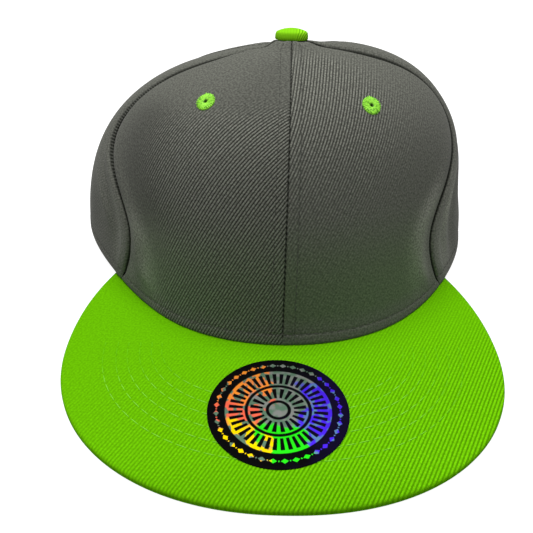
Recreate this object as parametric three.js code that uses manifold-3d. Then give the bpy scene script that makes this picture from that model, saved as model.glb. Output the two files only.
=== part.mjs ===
// A flat bill cap with six cloth panels, lying on its flat bill and the back of its rim.
// Millimetres, +Z up, the bill pointing along -Y. The cap is a little lopsided, as soft cloth is.
import * as THREE from "three";
import { mergeVertices } from "three/addons/utils/BufferGeometryUtils.js";
import Module from "manifold-3d";

const wasm = await Module();
wasm.setup();

// Driving dimensions
const GAP = 0.3; // clearance between neighbouring pieces
const LINER_GAP = 0.6; // between the crown and the band or strap inside it
const SINK = 5; // how far a cutting tool reaches past what it cuts

const BILL = {
  thickness: 3.5,
  halfWidth: 89.5, // at the widest, level with the front of the crown
  frontReach: 77.8, // from the crown's front to the bill's front edge
  backReach: 106, // half length of the flatter ellipse behind the widest place
  squareness: 2.17, // 2 is an ellipse, more is squarer
  endAzimuth: 64, // where the bill runs out under the crown
  stations: 44,
  edgeSteps: 4, // facets of the rounded front edge
};

const WALL = 2; // crown cloth with its backing
const CROWN_CENTRE_Y = 88; // behind the front of the crown
const TOP = { x: 2, y: 83, z: 104.2 }; // where the seams meet, under the button
const PANEL_END = 0.985; // share of the way from rim to top where the panels stop
const PANEL_ROWS = 14;

// One row for every 30 degrees round the crown, 0 at the front and + towards +X.
// reach: from the crown's centre to the rim. rise: the rim above the bill's top face.
// lean: outwards at the rim, degrees. lowPull and topPull: how long the wall keeps that
// direction above the rim, and the top slope's direction before the button.
const CROWN_ROWS = [
  { azimuth: -150, reach: 96.4, rise: -3.5, lean: 4, lowPull: 68, topPull: 72, topSlope: 17.5 },
  { azimuth: -120, reach: 104.5, rise: -1, lean: 2, lowPull: 53, topPull: 68, topSlope: 13.5 },
  { azimuth: -90, reach: 101.2, rise: 6.8, lean: -4, lowPull: 42, topPull: 80, topSlope: 5.7 },
  { azimuth: -60, reach: 83.7, rise: -0.5, lean: -9, lowPull: 52, topPull: 81.5, topSlope: 1 },
  { azimuth: -30, reach: 89.9, rise: 0.3, lean: -12.5, lowPull: 70, topPull: 70, topSlope: 2.6 },
  { azimuth: 0, reach: 87.5, rise: 0.3, lean: -13, lowPull: 75, topPull: 64, topSlope: 4.7 },
  { azimuth: 30, reach: 89.8, rise: 0.3, lean: -21, lowPull: 71.5, topPull: 68, topSlope: 4.3 },
  { azimuth: 60, reach: 85.1, rise: -0.5, lean: -18.5, lowPull: 53.5, topPull: 85.5, topSlope: 0 },
  { azimuth: 90, reach: 94.2, rise: 2.5, lean: -8, lowPull: 41.5, topPull: 83.5, topSlope: -6.3 },
  { azimuth: 120, reach: 97.5, rise: -1, lean: 1.5, lowPull: 55.5, topPull: 71, topSlope: 7.7 },
  { azimuth: 150, reach: 96, rise: -3.5, lean: 4, lowPull: 68, topPull: 72, topSlope: 17.5 },
  { azimuth: 180, reach: 96, rise: -3.5, lean: 4, lowPull: 68, topPull: 72, topSlope: 17.5 },
];

// Azimuth of each seam at equal steps from the rim to the top
const SEAMS = {
  front: [0, 0, 0, 0, 0, 0],
  side: [59, 50, 79.5, 83.5, 77.5, 61.5],
  rear: [118, 119, 126, 131, 128, 120],
  back: [180, 180, 180, 180, 180, 180],
};

// Each panel lies between two seams. side -1 is the half towards -X.
const PANELS = [
  { name: "front_left_panel", side: -1, from: "front", to: "side", columns: 12 },
  { name: "front_right_panel", side: 1, from: "front", to: "side", columns: 12 },
  { name: "side_left_panel", side: -1, from: "side", to: "rear", columns: 9 },
  { name: "side_right_panel", side: 1, from: "side", to: "rear", columns: 9 },
  { name: "back_left_panel", side: -1, from: "rear", to: "back", columns: 10 },
  { name: "back_right_panel", side: 1, from: "rear", to: "back", columns: 10 },
];

const ARCH = { halfWidth: 38, height: 46, depth: 80 }; // half-moon opening at the back

// Where a panel's eyelet sits, by the seam the panel starts from. height: share of the way
// from rim to top. across: share of the way from the panel's first seam to its second.
const EYELET_PLACE = {
  front: { height: 0.67, across: 0.475 },
  side: { height: 0.58, across: 0.64 },
  rear: { height: 0.67, across: 0.475 },
};

const EYELET = {
  radius: 4.2,
  bore: 1,
  proud: 0.5, // above the cloth outside
  inside: 0.2, // below the cloth inside
  sides: 14,
};

const BUTTON = {
  radius: 7,
  height: 4.4,
  squareness: 2.6, // of its side view, 2 is an ellipse
  stemRadius: 1.6,
  stemLength: 4.5,
  tilt: 4, // degrees backwards, with the crown's top
  lift: 0.6, // of its flat base above the place where the seams meet
  sides: 20,
  rings: 6,
};

const SWEATBAND = { thickness: 1.2, height: 0.26, endAzimuth: 149, footDrop: 2.8, rows: 5 };
const STRAP = { thickness: 1.4, low: 0.006, high: 0.11, fromAzimuth: 150.5, steps: 22, rows: 3 };
const STICKER = { radius: 26.5, thickness: 0.3, gap: 0.1, x: -2, y: -35.7, sides: 40 };

// Colours and finishes
const FINISHES = {
  crown: { color: 0x55564f, roughness: 0.9, metalness: 0 },
  bill: { color: 0x69c300, roughness: 0.85, metalness: 0 },
  thread: { color: 0x7ed321, roughness: 0.75, metalness: 0 },
  band: { color: 0x2b2c2a, roughness: 0.95, metalness: 0 },
  strap: { color: 0x3a3b3a, roughness: 0.45, metalness: 0 },
  foil: { color: 0xb9bcc0, roughness: 0.25, metalness: 0.6 },
};

const radians = THREE.MathUtils.degToRad;

// Uniform cubic B-spline weights of four neighbouring values
function splineWeights(u) {
  return [(1 - u) ** 3, 3 * u ** 3 - 6 * u ** 2 + 4, -3 * u ** 3 + 3 * u ** 2 + 3 * u + 1, u ** 3].map(
    (weight) => weight / 6,
  );
}

// A column of CROWN_ROWS at any azimuth, smooth all the way round
function crownColumn(name, azimuth) {
  const count = CROWN_ROWS.length;
  const step = 360 / count;
  const place = (azimuth - CROWN_ROWS[0].azimuth) / step;
  const first = Math.floor(place);
  return splineWeights(place - first).reduce((sum, weight, k) => {
    const row = CROWN_ROWS[(((first - 1 + k) % count) + count) % count];
    return sum + weight * row[name];
  }, 0);
}

// Azimuth of a seam at a height from 0, the rim, to 1, the top
function seamAzimuth(name, height) {
  const values = SEAMS[name];
  const last = values.length - 1;
  const ends = [2 * values[0] - values[1], ...values, 2 * values[last] - values[last - 1]];
  const place = Math.min(Math.max(height, 0), 1) * last;
  const first = Math.min(Math.floor(place), last - 1);
  return splineWeights(place - first).reduce((sum, weight, k) => sum + weight * ends[first + k], 0);
}

// A point on the outside of the crown
function crownPoint(azimuth, height) {
  const column = (name) => crownColumn(name, azimuth);
  const reach = column("reach");
  const overBill = Math.abs(azimuth) < 90;
  const rise = overBill ? Math.max(column("rise"), GAP) : column("rise");
  const angle = radians(azimuth);
  const rim = new THREE.Vector3(
    reach * Math.sin(angle),
    CROWN_CENTRE_Y - reach * Math.cos(angle),
    BILL.thickness + rise,
  );
  const top = new THREE.Vector3(TOP.x, TOP.y, TOP.z);
  const inwards = new THREE.Vector3(top.x - rim.x, top.y - rim.y, 0).normalize();
  const lean = radians(column("lean"));
  const slope = radians(column("topSlope"));
  const low = rim
    .clone()
    .addScaledVector(inwards, -column("lowPull") * Math.sin(lean))
    .add(new THREE.Vector3(0, 0, column("lowPull") * Math.cos(lean)));
  const high = top
    .clone()
    .addScaledVector(inwards, -column("topPull") * Math.cos(slope))
    .add(new THREE.Vector3(0, 0, -column("topPull") * Math.sin(slope)));
  return new THREE.CubicBezierCurve3(rim, low, high, top).getPoint(height);
}

// The outward direction of the crown, level at the rim so that the rim stays flat
function crownNormal(azimuth, height) {
  const step = 0.002;
  const centre = Math.min(Math.max(height, step), 1 - 2 * step);
  const up = crownPoint(azimuth, centre + step).sub(crownPoint(azimuth, centre - step));
  const round = crownPoint(azimuth + 1, centre).sub(crownPoint(azimuth - 1, centre));
  const normal = round.cross(up);
  if (height === 0) normal.z = 0;
  return normal.normalize();
}

function crownWall(azimuth, height, depth) {
  return crownPoint(azimuth, height).addScaledVector(crownNormal(azimuth, height), -depth);
}

// Turns a grid of outer points and a grid of inner points into one closed wall.
// Rows run upwards and columns run with the azimuth.
function wallGeometry(outer, inner) {
  const rows = outer.length;
  const columns = outer[0].length;
  const positions = [...outer.flat(), ...inner.flat()].flatMap((p) => [p.x, p.y, p.z]);
  const out = (j, i) => j * columns + i;
  const back = (j, i) => rows * columns + j * columns + i;
  const faces = [];
  const quad = (a, b, c, d) => faces.push(a, b, c, a, c, d);
  for (let j = 0; j < rows - 1; j++) {
    for (let i = 0; i < columns - 1; i++) {
      quad(out(j, i), out(j, i + 1), out(j + 1, i + 1), out(j + 1, i));
      quad(back(j, i), back(j + 1, i), back(j + 1, i + 1), back(j, i + 1));
    }
    quad(out(j, 0), out(j + 1, 0), back(j + 1, 0), back(j, 0));
    quad(out(j, columns - 1), back(j, columns - 1), back(j + 1, columns - 1), out(j + 1, columns - 1));
  }
  for (let i = 0; i < columns - 1; i++) {
    quad(out(0, i), back(0, i), back(0, i + 1), out(0, i + 1));
    quad(out(rows - 1, i), out(rows - 1, i + 1), back(rows - 1, i + 1), back(rows - 1, i));
  }
  return new THREE.BufferGeometry()
    .setAttribute("position", new THREE.Float32BufferAttribute(positions, 3))
    .setIndex(faces);
}

// A closed geometry as a manifold-3d solid, and back
function toSolid(geometry) {
  const bare = geometry.clone();
  bare.deleteAttribute("normal");
  bare.deleteAttribute("uv");
  const merged = mergeVertices(bare, 1e-4);
  return new wasm.Manifold(
    new wasm.Mesh({
      numProp: 3,
      vertProperties: new Float32Array(merged.attributes.position.array),
      triVerts: new Uint32Array(merged.index.array),
    }),
  );
}

function toGeometry(solid) {
  const mesh = solid.getMesh();
  return new THREE.BufferGeometry()
    .setAttribute("position", new THREE.BufferAttribute(mesh.vertProperties, 3))
    .setIndex(new THREE.BufferAttribute(mesh.triVerts, 1));
}

function piece(name, geometry, finish) {
  const material = new THREE.MeshStandardMaterial(FINISHES[finish]);
  geometry.computeVertexNormals();
  const mesh = new THREE.Mesh(geometry, material);
  mesh.name = name;
  return mesh;
}

// Azimuth across a panel, share 0 at its first seam and 1 at its second
function panelAzimuth(panel, share, height) {
  const azimuth = THREE.MathUtils.lerp(
    seamAzimuth(panel.from, height),
    seamAzimuth(panel.to, height),
    share,
  );
  return panel.side * azimuth;
}

// The place and direction of a panel's eyelet
function eyeletFrame(panel) {
  const { height, across } = EYELET_PLACE[panel.from];
  const azimuth = panelAzimuth(panel, across, height);
  const normal = crownNormal(azimuth, height);
  return {
    centre: crownPoint(azimuth, height),
    turn: new THREE.Quaternion().setFromUnitVectors(new THREE.Vector3(0, 0, 1), normal),
  };
}

// Places a geometry made about +Z at an eyelet
function atEyelet(geometry, panel) {
  const frame = eyeletFrame(panel);
  return geometry
    .applyQuaternion(frame.turn)
    .translate(frame.centre.x, frame.centre.y, frame.centre.z);
}

function archTool() {
  const shape = new THREE.Shape();
  shape.moveTo(-ARCH.halfWidth, -SINK);
  shape.lineTo(ARCH.halfWidth, -SINK);
  shape.lineTo(ARCH.halfWidth, 0);
  shape.absellipse(0, 0, ARCH.halfWidth, ARCH.height, 0, Math.PI, false, 0);
  shape.closePath();
  return new THREE.ExtrudeGeometry(shape, { depth: ARCH.depth, bevelEnabled: false, curveSegments: 20 })
    .rotateX(Math.PI / 2)
    .translate(0, CROWN_CENTRE_Y + CROWN_ROWS.at(-1).reach + SINK, 0);
}

function crownPanel(panel) {
  const grid = (depth) =>
    Array.from({ length: PANEL_ROWS + 1 }, (_, j) => {
      const height = (PANEL_END * j) / PANEL_ROWS;
      const perDegree = crownPoint(panelAzimuth(panel, 0, height) + 1, height)
        .sub(crownPoint(panelAzimuth(panel, 0, height), height))
        .length();
      const span = Math.abs(panelAzimuth(panel, 1, height) - panelAzimuth(panel, 0, height));
      const inset = GAP / 2 / perDegree / span;
      const row = Array.from({ length: panel.columns + 1 }, (_, i) => {
        const share = THREE.MathUtils.lerp(inset, 1 - inset, i / panel.columns);
        return crownWall(panelAzimuth(panel, share, height), height, depth);
      });
      return panel.side > 0 ? row : row.reverse();
    });
  const hole = new THREE.CylinderGeometry(
    EYELET.radius + GAP,
    EYELET.radius + GAP,
    2 * (WALL + SINK),
    EYELET.sides,
  ).rotateX(Math.PI / 2);
  let solid = toSolid(wallGeometry(grid(0), grid(WALL))).subtract(toSolid(atEyelet(hole, panel)));
  if (panel.to === "back") solid = solid.subtract(toSolid(archTool()));
  return piece(panel.name, toGeometry(solid), "crown");
}

// A ring of thread with a small hole, seated in the panel's hole
function eyelet(panel) {
  const bottom = -WALL - EYELET.inside;
  const profile = [
    [EYELET.bore, bottom],
    [EYELET.radius, bottom],
    [EYELET.radius, 0],
    [EYELET.radius - 1, EYELET.proud],
    [EYELET.bore + 1, EYELET.proud],
    [EYELET.bore, 0],
    [EYELET.bore, bottom],
  ].map(([r, z]) => new THREE.Vector2(r, z));
  const ring = new THREE.LatheGeometry(profile, EYELET.sides).rotateX(Math.PI / 2);
  const solid = toSolid(atEyelet(ring, panel));
  return piece(panel.name.replace("panel", "eyelet"), toGeometry(solid), "thread");
}

// How far the bill's outer edge lies from the crown's centre in a direction
function billReach(azimuth) {
  const angle = radians(azimuth);
  const inside = (distance) => {
    const x = distance * Math.sin(angle);
    const y = CROWN_CENTRE_Y - distance * Math.cos(angle);
    const power = y < 0 ? BILL.squareness : 2;
    const length = y < 0 ? BILL.frontReach : BILL.backReach;
    return Math.abs(x / BILL.halfWidth) ** power + Math.abs(y / length) ** power < 1;
  };
  let near = 0;
  let far = CROWN_CENTRE_Y + BILL.frontReach + SINK;
  while (far - near > 1e-4) {
    const middle = (near + far) / 2;
    if (inside(middle)) near = middle;
    else far = middle;
  }
  return near;
}

// The bill's section at one direction: flat faces, a square inner edge and a round outer edge
function billSection(azimuth) {
  const outerReach = billReach(azimuth);
  const innerReach = crownColumn("reach", azimuth) - WALL;
  const radius = Math.min(BILL.thickness / 2, outerReach - innerReach - 0.2);
  const section = [
    [innerReach, 0],
    [innerReach, BILL.thickness],
  ];
  for (let k = 0; k <= BILL.edgeSteps; k++) {
    const angle = Math.PI * (0.5 - k / BILL.edgeSteps);
    section.push([
      outerReach - radius + radius * Math.cos(angle),
      (BILL.thickness / 2) * (1 + Math.sin(angle)),
    ]);
  }
  const angle = radians(azimuth);
  return section.map(
    ([reach, z]) =>
      new THREE.Vector3(reach * Math.sin(angle), CROWN_CENTRE_Y - reach * Math.cos(angle), z),
  );
}

function bill() {
  const sections = Array.from({ length: BILL.stations + 1 }, (_, i) =>
    billSection(THREE.MathUtils.lerp(-BILL.endAzimuth, BILL.endAzimuth, i / BILL.stations)),
  );
  const around = sections[0].length;
  const faces = [];
  for (let i = 0; i < BILL.stations; i++) {
    for (let k = 0; k < around; k++) {
      const a = i * around + k;
      const b = i * around + ((k + 1) % around);
      faces.push(a, b, b + around, a, b + around, a + around);
    }
  }
  const last = BILL.stations * around;
  for (let k = 1; k < around - 1; k++) {
    faces.push(0, k + 1, k);
    faces.push(last, last + k, last + k + 1);
  }
  const geometry = new THREE.BufferGeometry()
    .setAttribute(
      "position",
      new THREE.Float32BufferAttribute(sections.flat().flatMap((p) => [p.x, p.y, p.z]), 3),
    )
    .setIndex(faces);
  return piece("bill", geometry, "bill");
}

// A cloth-covered button with a short stem through the hole where the panels meet
function button() {
  const power = 2 / BUTTON.squareness;
  const profile = [
    new THREE.Vector2(0, -BUTTON.stemLength),
    new THREE.Vector2(BUTTON.stemRadius, -BUTTON.stemLength),
    new THREE.Vector2(BUTTON.stemRadius, 0),
  ];
  for (let k = 0; k < BUTTON.rings; k++) {
    const angle = (Math.PI / 2) * (k / BUTTON.rings);
    const radius = BUTTON.radius * Math.cos(angle) ** power;
    profile.push(new THREE.Vector2(radius, BUTTON.height * Math.sin(angle) ** power));
  }
  profile.push(new THREE.Vector2(0, BUTTON.height));
  const geometry = new THREE.LatheGeometry(profile, BUTTON.sides)
    .rotateX(Math.PI / 2)
    .rotateX(radians(-BUTTON.tilt))
    .translate(TOP.x, TOP.y, TOP.z + BUTTON.lift);
  return piece("top_button", toGeometry(toSolid(geometry)), "bill");
}

// The band inside the rim, from one side of the back opening round the front to the other
function sweatband() {
  const stations = 48;
  const grid = (depth) =>
    Array.from({ length: SWEATBAND.rows + 1 }, (_, j) =>
      Array.from({ length: stations + 1 }, (_, i) => {
        const azimuth = THREE.MathUtils.lerp(
          -SWEATBAND.endAzimuth,
          SWEATBAND.endAzimuth,
          i / stations,
        );
        const foot = THREE.MathUtils.smoothstep(-Math.abs(azimuth), -BILL.endAzimuth, -58);
        if (j > 0) {
          return crownWall(azimuth, (SWEATBAND.height * (j - 0.5)) / (SWEATBAND.rows - 0.5), depth);
        }
        const point = crownWall(azimuth, 0, depth);
        point.z += GAP - SWEATBAND.footDrop * foot;
        return point;
      }),
    );
  const outside = WALL + LINER_GAP;
  const geometry = wallGeometry(grid(outside), grid(outside + SWEATBAND.thickness));
  return piece("sweatband", geometry, "band");
}

// The plain closed strap across the back opening
function strap() {
  const grid = (depth) =>
    Array.from({ length: STRAP.rows + 1 }, (_, j) =>
      Array.from({ length: STRAP.steps + 1 }, (_, i) => {
        const height = THREE.MathUtils.lerp(STRAP.low, STRAP.high, j / STRAP.rows);
        const azimuth = THREE.MathUtils.lerp(
          STRAP.fromAzimuth,
          360 - STRAP.fromAzimuth,
          i / STRAP.steps,
        );
        return crownWall(azimuth, height, depth);
      }),
    );
  const outside = WALL + LINER_GAP;
  return piece("snap_strap", wallGeometry(grid(outside), grid(outside + STRAP.thickness)), "strap");
}

function sticker() {
  const disc = new THREE.CylinderGeometry(
    STICKER.radius,
    STICKER.radius,
    STICKER.thickness,
    STICKER.sides,
  )
    .rotateX(Math.PI / 2)
    .translate(STICKER.x, STICKER.y, BILL.thickness + STICKER.gap + STICKER.thickness / 2);
  return piece("bill_sticker", disc, "foil");
}

const cap = new THREE.Group();
cap.name = "flat_bill_cap";
for (const panel of PANELS) cap.add(crownPanel(panel), eyelet(panel));
cap.add(bill(), button(), sweatband(), strap(), sticker());

// The origin is under the middle of the cap's box
const box = new THREE.Box3().setFromObject(cap, true);
cap.position.set(-(box.min.x + box.max.x) / 2, -(box.min.y + box.max.y) / 2, 0);

export default cap;
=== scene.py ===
"""The looks of a flat bill cap, built round its CAD solids: six twill panels, a flat bill, a covered
button, sewn eyelets, rows of stitches and a round foil sticker.

Lengths are millimetres, measured from the front of the crown on the joint with the bill, with the floor
at z = 0. in_frame() moves them to the CAD frame in metres.
"""

import math

import bpy
import numpy as np
from mathutils import Matrix, Vector


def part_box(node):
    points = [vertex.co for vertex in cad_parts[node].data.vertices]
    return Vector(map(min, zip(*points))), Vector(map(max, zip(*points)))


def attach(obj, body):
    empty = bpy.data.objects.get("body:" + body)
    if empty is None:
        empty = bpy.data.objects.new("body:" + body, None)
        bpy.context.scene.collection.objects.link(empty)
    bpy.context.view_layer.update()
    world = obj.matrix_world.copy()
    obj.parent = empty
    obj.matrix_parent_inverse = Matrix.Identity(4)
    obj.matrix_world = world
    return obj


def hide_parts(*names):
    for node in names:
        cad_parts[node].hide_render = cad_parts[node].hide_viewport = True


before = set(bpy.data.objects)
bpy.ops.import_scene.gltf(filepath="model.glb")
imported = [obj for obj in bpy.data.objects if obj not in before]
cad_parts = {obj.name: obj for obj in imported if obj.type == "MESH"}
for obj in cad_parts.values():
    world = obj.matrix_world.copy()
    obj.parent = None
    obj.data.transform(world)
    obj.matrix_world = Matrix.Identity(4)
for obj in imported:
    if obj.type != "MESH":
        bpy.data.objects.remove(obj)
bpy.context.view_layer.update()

# The crown and the bill, the same numbers as the CAD solids were built with

GAP = 0.3  # the rim above the bill
WALL = 2.0  # crown cloth with its backing
LINER_GAP = 0.6  # between the crown and what lies inside it

BILL_THICKNESS = 3.5
BILL_HALF_WIDTH = 89.5
BILL_FRONT_REACH = 77.8
BILL_BACK_REACH = 106.0
BILL_SQUARENESS = 2.17
BILL_END = 64.0  # azimuth where the bill runs out under the crown

CROWN_CENTRE_Y = 88.0
TOP = np.array([2.0, 83.0, 104.2])  # where the seams meet, under the button
PANEL_END = 0.985  # share of the way from rim to top where the panels stop

# One row for every 30 degrees round the crown, 0 at the front and + towards +X
CROWN_STEP = 30.0
CROWN_COLUMNS = ("azimuth", "reach", "rise", "lean", "low_pull", "top_pull", "top_slope")
CROWN_ROWS = (
    (-150, 96.4, -3.5, 4, 68, 72, 17.5),
    (-120, 104.5, -1, 2, 53, 68, 13.5),
    (-90, 101.2, 6.8, -4, 42, 80, 5.7),
    (-60, 83.7, -0.5, -9, 52, 81.5, 1),
    (-30, 89.9, 0.3, -12.5, 70, 70, 2.6),
    (0, 87.5, 0.3, -13, 75, 64, 4.7),
    (30, 89.8, 0.3, -21, 71.5, 68, 4.3),
    (60, 85.1, -0.5, -18.5, 53.5, 85.5, 0),
    (90, 94.2, 2.5, -8, 41.5, 83.5, -6.3),
    (120, 97.5, -1, 1.5, 55.5, 71, 7.7),
    (150, 96, -3.5, 4, 68, 72, 17.5),
    (180, 96, -3.5, 4, 68, 72, 17.5),
)
CROWN = dict(zip(CROWN_COLUMNS, np.array(CROWN_ROWS, float).T))

# Azimuth of each seam at equal steps from the rim to the top
SEAMS = {
    "front": (0, 0, 0, 0, 0, 0),
    "side": (59, 50, 79.5, 83.5, 77.5, 61.5),
    "rear": (118, 119, 126, 131, 128, 120),
    "back": (180, 180, 180, 180, 180, 180),
}


class Panel:
    """One panel of the crown. Its side is -1 towards -X, and first and second are its seams."""

    def __init__(self, name, side, first, second):
        self.name, self.side, self.first, self.second = name, side, first, second


PANELS = (
    Panel("front_left", -1, "front", "side"),
    Panel("front_right", 1, "front", "side"),
    Panel("side_left", -1, "side", "rear"),
    Panel("side_right", 1, "side", "rear"),
    Panel("back_left", -1, "rear", "back"),
    Panel("back_right", 1, "rear", "back"),
)

ARCH_HALF_WIDTH = 38.0
ARCH_HEIGHT = 46.0

EYELET_PLACE = (0.475, 0.67)  # share across its panel, and height
EYELET_SIDE_PLACE = (0.64, 0.58)  # on the side panels
EYELET_RADIUS = 4.2
EYELET_BORE = 0.45
EYELET_HOLE = 2.4  # cut through the panel's cloth

BUTTON_RADIUS = 7.0
BUTTON_HEIGHT = 4.4
BUTTON_TILT = 11.0
BUTTON_LIFT = 0.35
BUTTON_SHOULDER = 3.3  # height of the steep side under the domed top

SWEATBAND_THICKNESS = 1.2
SWEATBAND_HEIGHT = 0.26
SWEATBAND_END = 149.0
SWEATBAND_FOOT_DROP = 2.8
STRAP_THICKNESS = 1.4
STRAP_LOW = 0.006
STRAP_HIGH = 0.11
STRAP_FROM = 150.5

STICKER_RADIUS = 26.5
STICKER_THICKNESS = 0.3
STICKER_GAP = 0.1
STICKER_X = -2.0
STICKER_Y = -35.7

# Needlework

# How deep each seam is drawn in, how wide, and how plainly its separate stitches show
SEAM_STYLE = {
    "front": (0.55, 0.5, 1.0),
    "side": (1.6, 1.3, 0.15),
    "rear": (1.0, 0.8, 0.5),
    "back": (0.55, 0.5, 1.0),
}
SEAM_PAD = 0.45  # the doubled cloth beside a seam stands out this far
TOPSTITCH = 4.8  # from a seam to the row of stitches beside it
SIDE_PAD = 7.8  # width of the doubled cloth behind a side seam
SEAM_PULL = 2.3  # from one stitch in a seam to the next
SIDE_STITCH_RATE = 1.55  # the side seams are sewn this much closer
HEM_WIDTH = 4.6
HEM_PUFF = 0.12
STITCH_PITCH = 3.3
CROWN_STITCH = (2.5, 0.42, 0.3)  # length, width and height of one stitch
BILL_STITCH = (4.7, 0.36, 0.28)
BILL_STITCH_PITCH = 5.2
CROWN_STITCH_SEED = 5
BILL_STITCH_SEED = 11
EYELET_SEED = 20
STITCH_LIFT = 0.05

# Half width and front reach of each row of stitches on the bill, from the outside in
BILL_ROWS = ((73.5, 58.8), (68.2, 53.3), (63.8, 47.6), (58.9, 42.0), (54.2, 36.9), (50.0, 31.0))

# The ribs lean this far clockwise from each panel's middle line
TWILL_ANGLES = {"front_left": 14.0, "front_right": 45.0}
OTHER_TWILL_ANGLE = 29.0
CROWN_TWILL_PITCH = 1.22
BILL_TWILL_ANGLE = 28.6  # from straight ahead
BILL_TWILL_PITCH = 1.32
BUTTON_TWILL_ANGLE = 4.0
BUTTON_TWILL_PITCH = 1.25
BAND_TWILL_ANGLE = 40.0
BAND_TWILL_PITCH = 0.9

# The photograph's camera
CAMERA_PLACE = (-8.54, -200.70, 188.32)
CAMERA_RIGHT = (0.9998, 0.0058, 0.0168)
CAMERA_DOWN = (0.0170, -0.5844, -0.8113)
CAMERA_FOCAL_SHARE = 650.0 / 533.0  # focal length over the width of the frame
SENSOR = 36.0

# The bill is symmetrical, so its box gives the place of the crown's front in the CAD frame
bill_low, bill_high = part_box("bill")
SHIFT = np.array([(bill_low.x + bill_high.x) / 2, bill_low.y + BILL_FRONT_REACH / 1000, bill_low.z])


def in_frame(points):
    return np.asarray(points, float) / 1000 + SHIFT


UP = np.array([0.0, 0.0, 1.0])


def joined(*parts):
    """Numbers side by side along a new last axis."""
    return np.stack(np.broadcast_arrays(*parts), -1)


def running_total(steps):
    """The sums so far along the first axis, from zero."""
    steps = np.asarray(steps, float)
    return np.concatenate([np.zeros_like(steps[:1]), np.cumsum(steps, axis=0)])


def smooth_step(low, high, value):
    t = np.clip((value - low) / (high - low), 0, 1)
    return t * t * (3 - 2 * t)


def fade(low, high, value):
    return 1 - smooth_step(low, high, value)


def window(value, low, full, fading, gone):
    """Rises smoothly from low to full and falls again from fading to gone."""
    return smooth_step(low, full, value) * fade(fading, gone, value)


def bump(value, centre, width):
    return np.exp(-(((value - centre) / width) ** 2))


def signed_power(value, power):
    return np.sign(value) * np.abs(value) ** power


# The crown's surface


def spline(values, first, u):
    """A uniform cubic B-spline through four neighbours, u of the way from the second to the third."""
    weights = ((1 - u) ** 3, 3 * u**3 - 6 * u**2 + 4, -3 * u**3 + 3 * u**2 + 3 * u + 1, u**3)
    return sum(weight / 6 * values[(first + k) % len(values)] for k, weight in enumerate(weights))


def crown_column(name, azimuth):
    place = (azimuth - CROWN["azimuth"][0]) / CROWN_STEP
    first = np.floor(place).astype(int)
    return spline(CROWN[name], first - 1, place - first)


def seam_azimuth(name, height):
    values = np.array(SEAMS[name], float)
    last = len(values) - 1
    ends = np.concatenate([[2 * values[0] - values[1]], values, [2 * values[-1] - values[-2]]])
    place = np.clip(height, 0, 1) * last
    first = np.minimum(np.floor(place).astype(int), last - 1)
    return spline(ends, first, place - first)


def crown_point(azimuth, height):
    """Points on the outside of the crown, azimuth in degrees and height from 0, the rim, to 1, the top."""
    azimuth, height = np.broadcast_arrays(np.asarray(azimuth, float), np.asarray(height, float))
    reach, rise, *rest = (crown_column(name, azimuth) for name in CROWN_COLUMNS[1:])
    lean, low_pull, top_pull, slope = (values[..., None] for values in rest)
    rise = np.where(np.abs(azimuth) < 90, np.maximum(rise, GAP), rise)
    angle = np.radians(azimuth)
    rim = joined(reach * np.sin(angle), CROWN_CENTRE_Y - reach * np.cos(angle), BILL_THICKNESS + rise)
    inwards = (TOP - rim) * (1, 1, 0)
    inwards /= np.linalg.norm(inwards, axis=-1, keepdims=True)
    lean, slope = np.radians(lean), np.radians(slope)
    low = rim - inwards * low_pull * np.sin(lean) + UP * low_pull * np.cos(lean)
    high = TOP - inwards * top_pull * np.cos(slope) - UP * top_pull * np.sin(slope)
    t = height[..., None]
    return (1 - t) ** 3 * rim + 3 * t * (1 - t) ** 2 * low + 3 * t**2 * (1 - t) * high + t**3 * TOP


def crown_normal(azimuth, height):
    """The outward direction, level at the rim so that the rim stays flat."""
    step = 0.002
    azimuth, height = np.broadcast_arrays(np.asarray(azimuth, float), np.asarray(height, float))
    centre = np.clip(height, step, 1 - 2 * step)
    up = crown_point(azimuth, centre + step) - crown_point(azimuth, centre - step)
    across = crown_point(azimuth + 1, centre) - crown_point(azimuth - 1, centre)
    normal = np.cross(across, up)
    normal[..., 2] = np.where(height == 0, 0, normal[..., 2])
    return normal / np.linalg.norm(normal, axis=-1, keepdims=True)


def crown_wall(azimuth, height, depth):
    return crown_point(azimuth, height) - crown_normal(azimuth, height) * np.asarray(depth)[..., None]


# Meshes

SHARP_ANGLE = 50.0  # edges sharper than this stay crisp


def new_object(name, data):
    made = bpy.data.objects.new(name, data)
    bpy.context.scene.collection.objects.link(made)
    return made


def mesh_piece(name, points, faces, maps=()):
    """A mesh object in the CAD frame. maps holds (name, one pair of numbers for each vertex)."""
    mesh = bpy.data.meshes.new(name)
    mesh.from_pydata(in_frame(points).reshape(-1, 3).tolist(), [], [[int(v) for v in f] for f in faces])
    corners = np.zeros(len(mesh.loops), np.int32)
    mesh.loops.foreach_get("vertex_index", corners)
    for map_name, values in maps:
        layer = mesh.uv_layers.new(name=map_name)
        pairs = np.asarray(values, np.float32).reshape(-1, 2)
        layer.data.foreach_set("uv", pairs[corners].ravel())
    mesh.validate()
    mesh.shade_smooth()
    mesh.set_sharp_from_angle(angle=math.radians(SHARP_ANGLE))
    return new_object(name, mesh)


def quads(index):
    """Faces between neighbours in a grid of vertex numbers."""
    return joined(index[:-1, :-1], index[:-1, 1:], index[1:, 1:], index[1:, :-1]).reshape(-1, 4)


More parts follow.
